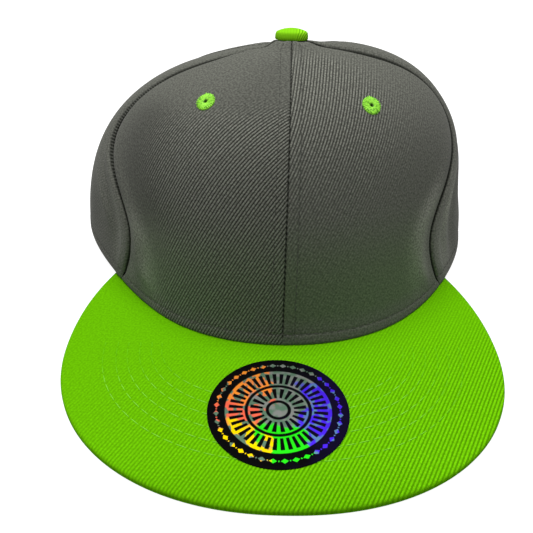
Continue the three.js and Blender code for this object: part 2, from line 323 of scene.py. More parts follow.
def wall_piece(name, outer, inner, maps=()):
    """A closed wall between two grids, rows running upwards and columns with the azimuth."""
    rows, columns = outer.shape[:2]
    index = np.arange(rows * columns).reshape(rows, columns)
    border = np.concatenate([index[:, 0], index[-1, 1:], index[-2::-1, -1], index[0, -2::-1]])
    edge = joined(border[:-1], border[1:], border[1:] + index.size, border[:-1] + index.size)
    faces = np.concatenate([quads(index), quads(index + index.size)[:, ::-1], edge])
    doubled = [(map_name, np.stack([values, values])) for map_name, values in maps]
    return mesh_piece(name, np.stack([outer, inner]), faces, doubled)


def ring_piece(name, sections, maps=(), closed=False):
    """Closed sections joined one after another. The first and last are capped unless they join up."""
    count, around = sections.shape[:2]
    index = np.arange(count * around).reshape(count, around)
    caps = [] if closed else [index[0, ::-1], index[-1]]
    if closed:
        index = np.concatenate([index, index[:1]])
    index = np.concatenate([index, index[:, :1]], 1)
    return mesh_piece(name, sections, [*quads(index), *caps], maps)


def lathe_points(profile, sides):
    """A profile of radius and height turned about +Z, as sections of one ring each."""
    angle = np.arange(sides) / sides * math.tau
    radius, height = np.asarray(profile, float).T[..., None]
    return joined(radius * np.cos(angle), radius * np.sin(angle), height)


def settle(piece):
    """Turns what a piece's modifiers make into its plain mesh."""
    graph = bpy.context.evaluated_depsgraph_get()
    mesh = bpy.data.meshes.new_from_object(piece.evaluated_get(graph))
    piece.modifiers.clear()
    piece.data = mesh
    mesh.name = piece.name


def cut_away(piece, cutter):
    """Takes the cutter's space out of a piece, and the cutter out of the scene."""
    cut = piece.modifiers.new("cut", "BOOLEAN")
    cut.operation = "DIFFERENCE"
    cut.solver = "EXACT"
    cut.object = cutter
    settle(piece)
    bpy.data.objects.remove(cutter)


# Nodes


def feed(socket, value):
    if isinstance(value, Value):
        value = value.socket
    if isinstance(value, bpy.types.NodeSocket):
        socket.id_data.links.new(value, socket)
    elif value is not None:
        socket.default_value = value


def add_node(tree, kind, inputs=(), **settings):
    """A node with these settings. inputs goes from the name or number of an input to its value."""
    node = tree.nodes.new(kind)
    for name, value in settings.items():
        setattr(node, name, value)
    for name, value in dict(inputs).items():
        feed(node.inputs[name], value)
    return node


def new_value(tree, kind, inputs=(), output=0, **settings):
    return Value(add_node(tree, kind, inputs, **settings).outputs[output])


class Value:
    """What comes out of a node. Working with it adds nodes to its tree."""

    def __init__(self, socket):
        self.socket = socket
        self.tree = socket.id_data

    def maths(self, operation, *others, clamp=False):
        inputs = enumerate((self, *others))
        return new_value(self.tree, "ShaderNodeMath", inputs, operation=operation, use_clamp=clamp)

    def __add__(self, other):
        return self.maths("ADD", other)

    def __sub__(self, other):
        return self.maths("SUBTRACT", other)

    def __rsub__(self, other):
        return self.maths("MULTIPLY_ADD", -1.0, other)

    def __mul__(self, other):
        return self.maths("MULTIPLY", other)

    def __truediv__(self, other):
        return self.maths("DIVIDE", other)

    def from_half(self):
        """How far this number is from a half."""
        return (self - 0.5).maths("ABSOLUTE")

    def wave(self):
        """A wave between 0 and 1, one to each whole number."""
        return (self * math.tau).maths("SINE") * 0.5 + 0.5

    def ramp(self, low, high, to_low=0.0, to_high=1.0):
        """A smooth step from to_low, at low, to to_high, at high."""
        names = ("Value", "From Min", "From Max", "To Min", "To Max")
        inputs = zip(names, (self, low, high, to_low, to_high))
        return new_value(self.tree, "ShaderNodeMapRange", inputs, interpolation_type="SMOOTHSTEP")

    def fall(self, low, high):
        return self.ramp(low, high, 1.0, 0.0)

    def blend(self, at_none, at_full):
        """Two colours mixed, with this as the share of the second."""
        inputs = {0: self, 6: at_none, 7: at_full}
        return new_value(self.tree, "ShaderNodeMix", inputs, 2, data_type="RGBA")

    def dyed(self, other):
        """This colour multiplied by another, or by a number."""
        inputs = {0: 1.0, 6: self, 7: other}
        return new_value(self.tree, "ShaderNodeMix", inputs, 2, data_type="RGBA", blend_type="MULTIPLY")

    def parts(self):
        node = add_node(self.tree, "ShaderNodeSeparateXYZ", {0: self})
        return [Value(socket) for socket in node.outputs]

    def level(self):
        inputs = {0: self, 1: (1.0, 1.0, 0.0)}
        return new_value(self.tree, "ShaderNodeVectorMath", inputs, operation="MULTIPLY")

    def length(self):
        return new_value(self.tree, "ShaderNodeVectorMath", {0: self}, "Value", operation="LENGTH")

    def noise(self, scale, detail=2.0):
        inputs = {"Vector": self, "Scale": scale, "Detail": detail}
        return new_value(self.tree, "ShaderNodeTexNoise", inputs, "Fac")


def new_tree(name, kind, inputs, outputs):
    """A node group. Each input has a starting value, or where it can't have one the name of its kind.

    Returns the tree, the values of its inputs, the sockets of its outputs and the inputs' ids.
    """
    tree = bpy.data.node_groups.new(name, kind)
    ids = {}
    for label, value in inputs.items():
        sort = value if isinstance(value, str) else {int: "Int", float: "Float"}[type(value)]
        socket = tree.interface.new_socket(name=label, in_out="INPUT", socket_type="NodeSocket" + sort)
        if value != sort:
            socket.default_value = value
        ids[label] = socket.identifier
    for label, sort in outputs.items():
        tree.interface.new_socket(name=label, in_out="OUTPUT", socket_type="NodeSocket" + sort)
    sockets = add_node(tree, "NodeGroupInput").outputs
    given = {label: Value(sockets[label]) for label in inputs}
    return tree, given, add_node(tree, "NodeGroupOutput").inputs, ids


# Materials

# The ends that each material's colour lies between
COLOURS = {
    "crown": ((0.0355, 0.0363, 0.0308, 1), (0.1825, 0.1867, 0.1593, 1)),
    "bill": ((0.070, 0.252, 0.0008, 1), (0.163, 0.560, 0.0028, 1)),
    "button": ((0.120, 0.390, 0.003, 1), (0.310, 0.760, 0.016, 1)),
    "crown_stitch": ((0.030, 0.031, 0.026, 1), (0.100, 0.102, 0.088, 1)),
    "bill_stitch": ((0.130, 0.480, 0.002, 1), (0.245, 0.660, 0.055, 1)),
    "eyelet": ((0.190, 0.580, 0.020, 1), (0.430, 0.940, 0.085, 1)),
    "band": ((0.018, 0.019, 0.017, 1), (0.034, 0.036, 0.032, 1)),
    "strap": ((0.040, 0.041, 0.040, 1), (0.052, 0.053, 0.051, 1)),
    "foil": ((0.105, 0.190, 0.125, 1), (0.230, 0.240, 0.225, 1)),
    "ink": ((0.0015, 0.0015, 0.0018, 1), (0.004, 0.002, 0.016, 1)),
    # painted green bounce light from the bill, from none to full
    "painted_green_bounce": ((1, 1, 1, 1), (0.79, 1.06, 0.66, 1)),
}
# painted shade down in a seam's gap
SEAM_SHADE = (0.008, 0.009, 0.006, 1)
THREAD_PALE = (0.20, 0.60, 0.02, 1)
EYELET_GAP_SHADE = (0.060, 0.260, 0.010, 1)
EYELET_HOLE_SHADE = (0.050, 0.150, 0.015, 1)
# Colours of the foil's painted rainbow reflection
FOIL_RED = (0.85, 0.13, 0.07, 1)
FOIL_ORANGE = (0.90, 0.28, 0.03, 1)
FOIL_GOLD = (0.90, 0.62, 0.0, 1)
FOIL_GREEN = (0.02, 0.72, 0.01, 1)
FOIL_VIOLET = (0.070, 0.020, 0.80, 1)
FOIL_BLUE = (0.10, 0.22, 0.42, 1)
FLECK_SPAN = (0.28, 0.72)  # of the noise behind a cloth's flecks

# How high each material's relief is, in metres, and how strongly it shades
RELIEF = {
    "crown": (0.00022, 0.9),
    "bill": (0.00016, 0.6),
    "button": (0.00012, 0.5),
    "crown_stitch": (0.00008, 0.5),
    "eyelet": (0.00012, 0.7),
    "band": (0.0001, 0.6),
    "strap": (0.00003, 0.3),
}

# Radii of the print on the sticker, as shares of its own
OUTER_RAYS = (0.50, 0.70)
INNER_RAYS = (0.22, 0.40)
OUTER_RING = (0.425, 0.475)
INNER_RING = (0.13, 0.18)
RIM_EDGE = (0.745, 0.757)
LOZENGES = 0.872
PIPS = (0.862, 0.882)


def new_material(name, roughness, sheen=0.0, specular=0.3):
    material = bpy.data.materials.new(name)
    material.use_nodes = True
    shader = material.node_tree.nodes["Principled BSDF"]
    shader.inputs["Roughness"].default_value = roughness
    shader.inputs["Sheen Weight"].default_value = sheen
    shader.inputs["Specular IOR Level"].default_value = specular
    return material, material.node_tree, shader


def coat(shader, colour, height=None, distance=0.0, strength=1.0):
    """Gives a shader its colour, and its relief where it has one."""
    feed(shader.inputs["Base Color"], colour)
    if height is not None:
        inputs = {"Strength": strength, "Distance": distance, "Height": height}
        feed(shader.inputs["Normal"], new_value(height.tree, "ShaderNodeBump", inputs, "Normal"))


def uv_value(tree, name):
    return new_value(tree, "ShaderNodeUVMap", uv_map=name)


def object_value(tree):
    return new_value(tree, "ShaderNodeTexCoord", output="Object")


def twill_group():
    """Diagonal ribs of thread. Cloth is a place on the flat cloth in millimetres."""
    inputs = {"Cloth": "Vector", "Pitch": 1.4, "Angle": 0.5, "Waver": 0.3, "Break": 1.0, "Show": 1.0}
    outputs = dict.fromkeys(("Rib", "Relief", "Fleck"), "Float")
    tree, given, made, _ = new_tree("twill", "ShaderNodeTree", inputs, outputs)
    turn = {"Vector": given["Cloth"], "Angle": given["Angle"]}
    x, y, _ = new_value(tree, "ShaderNodeVectorRotate", turn, rotation_type="Z_AXIS").parts()
    across = x / given["Pitch"] + (given["Cloth"].noise(0.09) - 0.5) * given["Waver"]
    along = y / given["Pitch"]
    rib = across.wave().ramp(0.12, 0.72)
    # Each rib is a row of short floats of thread, a little out of step with the next row
    row = (across + 0.25).maths("FLOOR") * 0.37
    floats = (along * 1.35 + row).wave()
    fleck = given["Cloth"].noise(1.15)
    broken = floats * 0.25 + (fleck * 0.9 - 0.57)
    shown_rib = rib * (broken * given["Break"] + 1.0) - 0.5
    feed(made["Rib"], shown_rib * given["Show"] + 0.5)
    feed(made["Relief"], rib * (floats * 0.3 + 0.7) * given["Show"])
    feed(made["Fleck"], fleck)
    return tree


TWILL = twill_group()


def lay_twill(tree, pitch, angle, waver=0.05, show=1.0, broken=1.0):
    """The rib, relief and fleck of a piece's cloth map, for an angle in degrees."""
    values = (uv_value(tree, "cloth"), pitch, math.radians(angle), waver, broken, show)
    inputs = zip(("Cloth", "Pitch", "Angle", "Waver", "Break", "Show"), values)
    node = add_node(tree, "ShaderNodeGroup", inputs, node_tree=TWILL)
    return [Value(socket) for socket in node.outputs]


def crown_cloth():
    material, tree, shader = new_material("grey twill", 0.95, sheen=0.05, specular=0.08)
    show, sewn, _ = uv_value(tree, "finish").parts()
    away, along, _ = uv_value(tree, "seam").parts()
    tone, painted_bounce, _ = uv_value(tree, "tone").parts()
    rib, relief, fleck = lay_twill(tree, CROWN_TWILL_PITCH, 0.0, show=show)
    colour = rib.blend(*COLOURS["crown"]).dyed(fleck.ramp(*FLECK_SPAN, 0.66, 1.34))
    # The seam's gap is painted in shade, and the thread in the seam crosses it as short paler lines
    pull = ((away * 1.1 + along) * (math.tau / SEAM_PULL)).maths("SINE")
    threads = pull.ramp(-0.1, 0.8) * sewn
    shade = away.fall(0.45, 1.0) * (threads * -0.72 + 0.96)
    # Painted shade in the seams, painted light and shade on the cloth, and the bill's painted green bounce
    # light
    colour = shade.blend(colour, SEAM_SHADE).dyed(tone).dyed(painted_bounce.blend(*COLOURS["painted_green_bounce"]))
    coat(shader, colour, relief, *RELIEF["crown"])
    return material


def bill_cloth():
    material, tree, shader = new_material("green twill", 1.0, specular=0.0)
    show, _, _ = uv_value(tree, "finish").parts()
    rib, relief, fleck = lay_twill(tree, BILL_TWILL_PITCH, BILL_TWILL_ANGLE, show=show, broken=0.4)
    # Painted shade: the bill darkens towards its front edge, where less light falls
    front = float(SHIFT[1]) - BILL_FRONT_REACH / 1000
    painted_front_shade = object_value(tree).parts()[1].ramp(front, front + 0.022, 0.86, 1.0)
    colour = rib.blend(*COLOURS["bill"]).dyed(fleck.ramp(*FLECK_SPAN, 0.87, 1.13)).dyed(painted_front_shade)
    coat(shader, colour, relief, *RELIEF["bill"])
    return material


def button_cloth():
    material, tree, shader = new_material("button twill", 0.95, specular=0.03)
    show = uv_value(tree, "cloth").parts()[0].ramp(1.2, 3.6, 0.1, 1.0)
    rib, relief, _ = lay_twill(tree, BUTTON_TWILL_PITCH, BUTTON_TWILL_ANGLE, show=show, broken=0.3)
    coat(shader, rib.blend(*COLOURS["button"]), relief, *RELIEF["button"])
    return material


def thread_group():
    """The fine lines of a thread's twist."""
    inputs = {"Place": "Vector", "Fineness": 2600.0}
    tree, given, made, _ = new_tree("thread twist", "ShaderNodeTree", inputs, {"Lines": "Float"})
    feed(made["Lines"], given["Place"].noise(given["Fineness"], 1.0))
    return tree


THREAD_TWIST = thread_group()


def thread_lines(tree):
    return new_value(tree, "ShaderNodeGroup", {"Place": object_value(tree)}, node_tree=THREAD_TWIST)


def grey_thread():
    material, tree, shader = new_material("grey thread", 0.8, specular=0.1)
    lines = thread_lines(tree)
    coat(shader, lines.blend(*COLOURS["crown_stitch"]), lines, *RELIEF["crown_stitch"])
    return material


def bill_thread():
    """Green like the bill at the sides, where the rows sink in, and paler towards the front."""
    material, tree, shader = new_material("bill thread", 0.8, specular=0.05)
    x, y, _ = object_value(tree).parts()
    front = float(SHIFT[1]) - 0.013
    right = float(SHIFT[0]) + 0.046
    pale = y.fall(front - 0.010, front) * x.ramp(right, right + 0.014, 1.0, 0.25)
    lines = thread_lines(tree) * 0.5
    coat(shader, lines.blend(pale.blend(*COLOURS["bill_stitch"]), THREAD_PALE))
    return material


def eyelet_thread():
    """Shiny embroidery thread, with painted shade down in the hole and between the threads."""
    material, tree, shader = new_material("eyelet thread", 0.55, specular=0.25)
    lines = thread_lines(tree)
    gaps = object_value(tree).noise(1100.0, 1.0).ramp(0.34, 0.44, 0.75, 0.0)
    # painted shade down in the hole
    hole = new_value(tree, "ShaderNodeAttribute", output="Fac", attribute_name="ring").fall(0.0006, 0.0011)
    colour = gaps.blend(lines.blend(*COLOURS["eyelet"]), EYELET_GAP_SHADE)
    coat(shader, hole.blend(colour, EYELET_HOLE_SHADE), lines, *RELIEF["eyelet"])
    return material


def band_cotton():
    material, tree, shader = new_material("band cotton", 0.95, sheen=0.1)
    rib, relief, _ = lay_twill(tree, BAND_TWILL_PITCH, BAND_TWILL_ANGLE, waver=0.2)
    coat(shader, rib.blend(*COLOURS["band"]), relief, *RELIEF["band"])
    return material


def strap_plastic():
    material, tree, shader = new_material("strap plastic", 0.42, specular=0.5)
    grain = object_value(tree).noise(900.0)
    coat(shader, grain.blend(*COLOURS["strap"]), grain, *RELIEF["strap"])
    return material


def rainbow(x, y, disc):
    """Painted reflection: patches of the foil's rainbow sheen on grey foil. Returns the colour and the
    wandering place from left to right.
    """
    wander = (disc.noise(2.2, 3.0) - 0.5) * 1.6
    fine = disc.noise(7.0, 1.0)
    side, high = x + wander, y + wander * 0.7
    warm = side.fall(-0.26, -0.14) * fine.ramp(0.43, 0.50)
    middle = (side - 0.05).maths("ABSOLUTE").fall(0.26, 0.36)
    cool = side.ramp(0.32, 0.44)
    colour = fine.ramp(0.40, 0.62).blend(*COLOURS["foil"])
    for share, patch in (
        (warm, FOIL_RED),
        (warm * high.ramp(0.05, 0.35), FOIL_ORANGE),
        (warm * high.fall(-0.38, -0.24), FOIL_GOLD),
        (middle * high.fall(-0.26, -0.14), FOIL_GREEN),
        (cool, FOIL_VIOLET),
        (cool * fine.ramp(0.50, 0.60), FOIL_BLUE),
    ):
        colour = share.blend(colour, patch)
    return colour, side


def foil():
    """A round printed foil: black rim with lozenges, and rays and rings over patches of painted rainbow
    reflection.
    """
    material, tree, shader = new_material("printed foil", 0.3, specular=0.02)
    disc = uv_value(tree, "disc")  # -1 to 1 across the sticker
    x, y, _ = disc.parts()
    radius = disc.length()
    turn = y.maths("ARCTAN2", x) / math.tau

    def between(low, high, soft=0.008):
        return radius.ramp(low - soft, low + soft) * radius.fall(high - soft, high + soft)

    def off_spoke(count):
        """How far from the middle of the nearest of so many spokes, 0 to 0.5."""
        return (turn * count + 100.0).maths("FRACT").from_half()

    colour, side = rainbow(x, y, disc)
    outer_rays = between(*OUTER_RAYS) * off_spoke(40.0).fall(0.25, 0.31)
    inner_rays = between(*INNER_RAYS) * off_spoke(20.0).fall(0.23, 0.29)
    rings = between(*OUTER_RING) + between(*INNER_RING)
    ink = (outer_rays + inner_rays).maths("ADD", rings, clamp=True)
    slot = off_spoke(36.0)
    lozenge = (slot + (radius - LOZENGES).maths("ABSOLUTE") * 9.0).fall(0.30, 0.38)
    pip = between(*PIPS, 0.006) * slot.ramp(0.43, 0.46)
    rim = radius.ramp(*RIM_EDGE) * (1.0 - lozenge.maths("MAXIMUM", pip))
    ink = ink.maths("MAXIMUM", rim)
    coat(shader, ink.blend(colour, side.ramp(0.1, 0.7).blend(*COLOURS["ink"])))
    feed(shader.inputs["Metallic"], (1.0 - ink) * 0.7)
    feed(shader.inputs["Roughness"], ink * 0.3 + 0.35)
    return material


MATERIALS = {
    "crown": crown_cloth(),
    "bill": bill_cloth(),
    "button": button_cloth(),
    "crown_stitch": grey_thread(),
    "bill_stitch": bill_thread(),
    "eyelet": eyelet_thread(),
    "band": band_cotton(),
    "strap": strap_plastic(),
    "foil": foil(),
}


def painted(piece, name):
    piece.data.materials.append(MATERIALS[name])
    return piece


# Trees of nodes that lay stitches and threads


def number_sockets(sockets):
    """A node's sockets for plain numbers, among those it has for other kinds."""
    return [socket for socket in sockets if socket.type == "VALUE" and socket.enabled]


def laid_stitches(tree, given, points, along, normal, rings):
    """A stitch on each point: a rounded grain lying along one direction and upright in the other."""
    ball = {"Segments": 6, "Rings": rings, "Radius": 0.5}
    lying = {
        "Geometry": new_value(tree, "GeometryNodeMeshUVSphere", ball, "Mesh"),
        "Rotation": (0, math.pi / 2, 0),
    }
    size = {"X": given["Length"], "Y": given["Width"], "Z": given["Height"]}
    grown = {
        "Geometry": new_value(tree, "GeometryNodeTransform", lying),
        "Scale": new_value(tree, "ShaderNodeCombineXYZ", size),
    }
    uneven = add_node(tree, "FunctionNodeRandomValue", {"Seed": given["Seed"]}, data_type="FLOAT")
    for socket, value in zip(number_sockets(uneven.inputs), (1.0 - given["Unevenness"], 1.0)):
        feed(socket, value)
    axes = dict(primary_axis="X", secondary_axis="Z")
    copies = {
        "Points": points,
        "Instance": new_value(tree, "GeometryNodeTransform", grown),
        "Rotation": new_value(tree, "FunctionNodeAxesToRotation", {0: along, 1: normal}, **axes),
        "Scale": number_sockets(uneven.outputs)[0],
    }
    return new_value(tree, "GeometryNodeInstanceOnPoints", copies)


def finish_tree(tree, made, shapes, material):
    """Realizes the copies, shades them smooth and gives them their material."""
    real = new_value(tree, "GeometryNodeRealizeInstances", {0: shapes})
    smooth = new_value(tree, "GeometryNodeSetShadeSmooth", {0: real})
    inputs = {"Geometry": smooth, "Material": material}
    feed(made["Geometry"], new_value(tree, "GeometryNodeSetMaterial", inputs))


def new_geometry_tree(name, inputs):
    inputs = {"Geometry": "Geometry", **inputs, "Seed": 1, "Material": "Material"}
    made = new_tree(name, "GeometryNodeTree", inputs, {"Geometry": "Geometry"})
    made[0].is_modifier = True
    return made


def stitch_tree():
    """Stitches laid end to end along each path of edges, flat on the cloth."""
    inputs = {"Pitch": 0.004, "Length": 0.003, "Width": 0.0005, "Height": 0.0003, "Unevenness": 0.12}
    tree, given, made, ids = new_geometry_tree("stitch rows", inputs)
    curves = new_value(tree, "GeometryNodeMeshToCurve", {"Mesh": given["Geometry"]})
    path = {"Curve": curves, "Length": given["Pitch"]}
    points = new_value(tree, "GeometryNodeResampleCurve", path, mode="LENGTH")
    along = new_value(tree, "GeometryNodeInputTangent")
    cloth = {"Name": "cloth_normal"}
    kind = "GeometryNodeInputNamedAttribute"
    normal = new_value(tree, kind, cloth, "Attribute", data_type="FLOAT_VECTOR")
    finish_tree(tree, made, laid_stitches(tree, given, points, along, normal, 5), given["Material"])
    return tree, ids


def eyelet_tree():
    """Threads laid side by side round a hole, from the bore over the rim of the ring."""
    inputs = {"Count": 26, "Middle Radius": 0.0026, "Length": 0.0034, "Width": 0.0009, "Height": 0.0009}
    inputs.update({"Lift": 0.0005, "Unevenness": 0.14})
    tree, given, made, ids = new_geometry_tree("eyelet threads", inputs)
    circle = {"Vertices": given["Count"], "Radius": given["Middle Radius"]}
    raised = {
        "Geometry": new_value(tree, "GeometryNodeMeshCircle", circle),
        "Translation": new_value(tree, "ShaderNodeCombineXYZ", {"Z": given["Lift"]}),
    }
    points = new_value(tree, "GeometryNodeTransform", raised)
    outwards = new_value(tree, "GeometryNodeInputPosition").level()
    copies = laid_stitches(tree, given, points, outwards, UP, 6)
    join = add_node(tree, "GeometryNodeJoinGeometry")
    for shape in (copies, given["Geometry"]):
        feed(join.inputs[0], shape)
    real = new_value(tree, "GeometryNodeRealizeInstances", {0: Value(join.outputs[0])})
    ring = {"Geometry": real, "Name": "ring"}
    kept = add_node(tree, "GeometryNodeStoreNamedAttribute", ring, data_type="FLOAT", domain="POINT")
    feed(number_sockets(kept.inputs)[0], outwards.length())
    finish_tree(tree, made, Value(kept.outputs["Geometry"]), given["Material"])
    return tree, ids


STITCHES = stitch_tree()
EYELET_THREADS = eyelet_tree()


def run_tree(piece, tree_and_ids, values):
    """Runs a tree on a piece with these inputs and keeps the result as its mesh."""
    tree, ids = tree_and_ids
    made_by = piece.modifiers.new(tree.name, "NODES")
    made_by.node_group = tree
    for label, value in values.items():
        made_by[ids[label]] = value
    settle(piece)
    return piece


def stitch_piece(name, paths, size, pitch, material, seed):
    """Rows of stitches. Each path is a list of points and a list of the cloth's outward directions."""
    mesh = bpy.data.meshes.new(name)
    points = np.concatenate([p for p, _ in paths])
    normals = np.concatenate([n for _, n in paths])
    edges, start = [], 0
    for path, _ in paths:
        edges += [(start + k, start + k + 1) for k in range(len(path) - 1)]
        start += len(path)
    mesh.from_pydata(in_frame(points).tolist(), edges, [])
    layer = mesh.attributes.new("cloth_normal", "FLOAT_VECTOR", "POINT")
    layer.data.foreach_set("vector", normals.astype(np.float32).ravel())
    values = dict(zip(("Length", "Width", "Height"), (v / 1000 for v in size)))
    values.update({"Pitch": pitch / 1000, "Unevenness": 0.12, "Seed": seed, "Material": MATERIALS[material]})
    return run_tree(new_object(name, mesh), STITCHES, values)


# Crown panels

# Columns at these distances from a seam, more evenly spread ones between, and rows from the rim
PANEL_STEPS = (
    0.03, 0.2, 0.4, 0.65, 0.95, 1.35, 1.9, 2.7, 3.4, 3.9, 4.3, 4.6, 4.85, 5.1, 5.4, 5.8, 6.4, 7.5,
)
PANEL_MIDDLE = 44
HEM_STEPS = (0, 0.25, 0.55, 0.95, 1.5, 2.2, 3.0, 3.7, 4.1, 4.4, 4.6, 4.8, 5.1, 5.5, 6.2)
PANEL_ROW_STEP = 1.5
NARROW = 16.0  # a panel narrower than this has its seam dressing drawn together
MEASURE_ROWS, MEASURE_COLUMNS = 160, 41

# Panel, share at height 0.25, how far that moves with the height, width, heights where it fades in and
# out, and how far it stands out in millimetres
FOLDS = (
    ("side_left", 0.285, 0.9, 0.035, 0.15, 0.27, 1.0),
    ("side_left", 0.165, 0.2, 0.045, 0.10, 0.44, -0.9),
    ("side_right", 0.130, -0.3, 0.035, 0.12, 0.33, 1.0),
    ("side_right", 0.24, 0.0, 0.05, 0.06, 0.30, -0.9),
    ("side_right", 0.50, 0.0, 0.20, 0.14, 0.32, -0.9),
    ("back_left", 0.35, 0.0, 0.12, 0.20, 0.50, 0.7),
    ("back_right", 0.35, 0.0, 0.12, 0.20, 0.50, 0.7),
)

# Painted light and shade, lighter and darker places on the cloth, in the same columns, as a share of its
# brightness
PAINTED_LIGHT_AND_SHADE = (
    ("front_right", 0.875, 0.15, 0.085, 0.05, 0.33, 0.72),
    ("side_right", 0.13, 0.0, 0.09, 0.03, 0.36, 0.75),
    ("side_right", 0.14, 0.2, 0.045, 0.23, 0.36, 0.6),
    ("front_left", 0.935, 0.9, 0.075, 0.03, 0.26, 0.55),
    ("front_left", 0.95, 0.0, 0.06, 0.03, 0.09, 0.4),
    ("front_left", 0.72, 0.0, 0.17, 0.24, 0.62, -0.30),
    ("front_left", 0.15, 0.0, 0.25, 0.62, 0.90, -0.15),
    ("side_left", 0.09, 0.0, 0.05, 0.07, 0.30, 0.35),
    ("side_left", 0.37, 0.0, 0.06, 0.08, 0.22, -0.15),
)
PATCH_HEIGHT = 0.25
PATCH_FADE = 0.06

# The cloth bulks up before the button and is drawn down beside it: direction from the front, how far
# round that reaches, distance from the middle, width, and how far it stands out in millimetres
TOP_RELIEF = (
    (0.0, 62.0, 8.0, 3.6, 2.3),
    (-90.0, 40.0, 7.4, 2.2, 0.8),
    (-90.0, 50.0, 12.5, 5.0, -0.8),
    (-104.0, 30.0, 30.0, 17.0, -0.8),
    (118.0, 36.0, 13.0, 8.0, -1.2),
)

# Heights where these rise, are full, begin to fade and are gone
PAINTED_BOUNCE_WINDOW = (0.01, 0.07, 0.10, 0.34)
BACKING_WINDOW = (0.01, 0.09, 0.30, 0.52)
LEFT_STITCH_WINDOW = (0.24, 0.36, 0.62, 0.75)
PAINTED_BOUNCE = {-1: 0.6, 1: 0.85}  # how strongly the bill's green bounce light is painted on either side
BACKING_LIFT = 1.4
BACKING_WIDTH = 4.5


def panel_azimuth(panel, share, height):
    start, end = seam_azimuth(panel.first, height), seam_azimuth(panel.second, height)
    return panel.side * (start + (end - start) * share)


def panel_point(panel, share, height):
    return crown_point(panel_azimuth(panel, share, height), height)


def measure(panel):
    """Heights, the panel's width there, and the way up its middle, in millimetres."""
    heights = np.linspace(0, PANEL_END, MEASURE_ROWS)
    share, height = np.meshgrid(np.linspace(0, 1, MEASURE_COLUMNS), heights)
    points = panel_point(panel, share, height)
    widths = np.linalg.norm(np.diff(points, axis=1), axis=-1).sum(1)
    climb = np.linalg.norm(np.diff(points[:, MEASURE_COLUMNS // 2], axis=0), axis=-1)
    return heights, widths, running_total(climb)


MEASURES = {panel.name: measure(panel) for panel in PANELS}


def patches(table, name, share, height):
    """The sum of a table's soft upright patches on one panel."""
    total = np.zeros_like(share)
    for panel_name, middle, slant, width, low, high, amount in table:
        if panel_name == name:
            edges = (low - PATCH_FADE, low + PATCH_FADE, high - PATCH_FADE, high + PATCH_FADE)
            centre = middle + slant * (height - PATCH_HEIGHT)
            total = total + amount * window(height, *edges) * bump(share, centre, width)
    return total


def painted_bill_bounce(panel, share, height):
    """How strongly the bill's green bounce light is painted on the front cloth."""
    if panel.first != "front":
        return np.zeros_like(height)
    return PAINTED_BOUNCE[panel.side] * window(height, *PAINTED_BOUNCE_WINDOW) * fade(0.72, 0.95, share)


def top_relief(points):
    """How the cloth lies round the button, in millimetres."""
    away = points - TOP
    distance = np.linalg.norm(away, axis=-1)
    direction = np.degrees(np.arctan2(away[..., 0], -away[..., 1]))
    out = 0.0
    for towards, reach, middle, width, lift in TOP_RELIEF:
        out = out + lift * bump(direction, towards, reach) * bump(distance, middle, width)
    return out


def backing_ridge(panel, share, height, width):
    """The stiff backing of a front panel ends in a soft ridge beside the side seam."""
    if panel.first != "front":
        return 0.0
    away = 7 + 17 * fade(0, 0.14, height) if panel.side < 0 else 10.5
    return BACKING_LIFT * window(height, *BACKING_WINDOW) * bump((1 - share) * width, away, BACKING_WIDTH)


def side_seam_opening(panel, height):
    """The side seams open towards the top, the left one further, and close before the button."""
    opening = 0.65 + 0.95 * smooth_step(0.12, 0.45, height)
    if panel.side < 0:
        opening += 1.1 * smooth_step(0.24, 0.40, height) * (1 - 0.25 * smooth_step(0.50, 0.68, height))
        opening -= 0.8 * smooth_step(0.82, 0.92, height)
    return opening * (1 - 0.5 * smooth_step(0.80, 0.94, height))


def dressing(panel, share, height):
    """How far the sewn cloth stands out from the plain crown.

    Also the distance from the seam, in widths of that seam, the way along it, and how plainly its
    stitches show.
    """
    heights, widths, climbs = MEASURES[panel.name]
    width = np.interp(height, heights, widths)
    from_rim = np.interp(height, heights, climbs)
    shrink = np.minimum(1, width / NARROW)
    to_seam = np.minimum(share, 1 - share) * width / shrink
    by_first = np.asarray(share) < 0.5
    first, second = (np.array(SEAM_STYLE[name]) for name in (panel.first, panel.second))
    depth, seam_width, stitches = np.moveaxis(np.where(by_first[..., None], first, second), -1, 0)
    by_side = by_first if panel.first == "side" else ~by_first & (panel.second == "side")
    pad_end = np.where(by_side, SIDE_PAD, TOPSTITCH)
    pad = fade(pad_end - 0.5, pad_end + 1.3, to_seam)
    # Beside a side seam the pad is thick below and pressed flat towards the top
    pad = np.where(by_side, pad * 1.7 * fade(0.38, 0.62, height), pad)
    seam_width = np.where(by_side, seam_width * side_seam_opening(panel, height), seam_width)
    if panel.side < 0:
        shown = (0.8 if panel.first == "side" else 0.28) * window(height, *LEFT_STITCH_WINDOW)
        stitches = np.where(by_side, np.maximum(stitches, shown), stitches)
    closing = 0.1 + 0.9 * smooth_step(1.0, 9.0, from_rim)  # the hem crosses the seams flat
    # The front panels lie smooth against the side seams
    smooth = ~by_first & (panel.first == "front")
    groove = np.where(by_side, 0, 0.2 * bump(to_seam, TOPSTITCH, 0.55))
    out = np.where(smooth, 0, SEAM_PAD * pad * closing - groove)
    out -= closing * depth * bump(to_seam, 0, seam_width)
    out = out * shrink + HEM_PUFF * fade(HEM_WIDTH - 0.8, HEM_WIDTH + 0.6, from_rim)
    out -= 0.15 * bump(from_rim, HEM_WIDTH, 0.5) + 0.3 * bump(from_rim, 0, 0.5)
    out += patches(FOLDS, panel.name, share, height) + backing_ridge(panel, share, height, width)
    out += top_relief(panel_point(panel, share, height))
    along = from_rim * np.where(by_side, SIDE_STITCH_RATE, 1)
    return out, to_seam * shrink / seam_width / closing, along, stitches


def dressed_point(panel, share, height, above=0.0):
    azimuth = panel_azimuth(panel, share, height)
    normal = crown_normal(azimuth, height)
    out = dressing(panel, share, height)[0] + above
    return crown_point(azimuth, height) + normal * out[..., None], normal


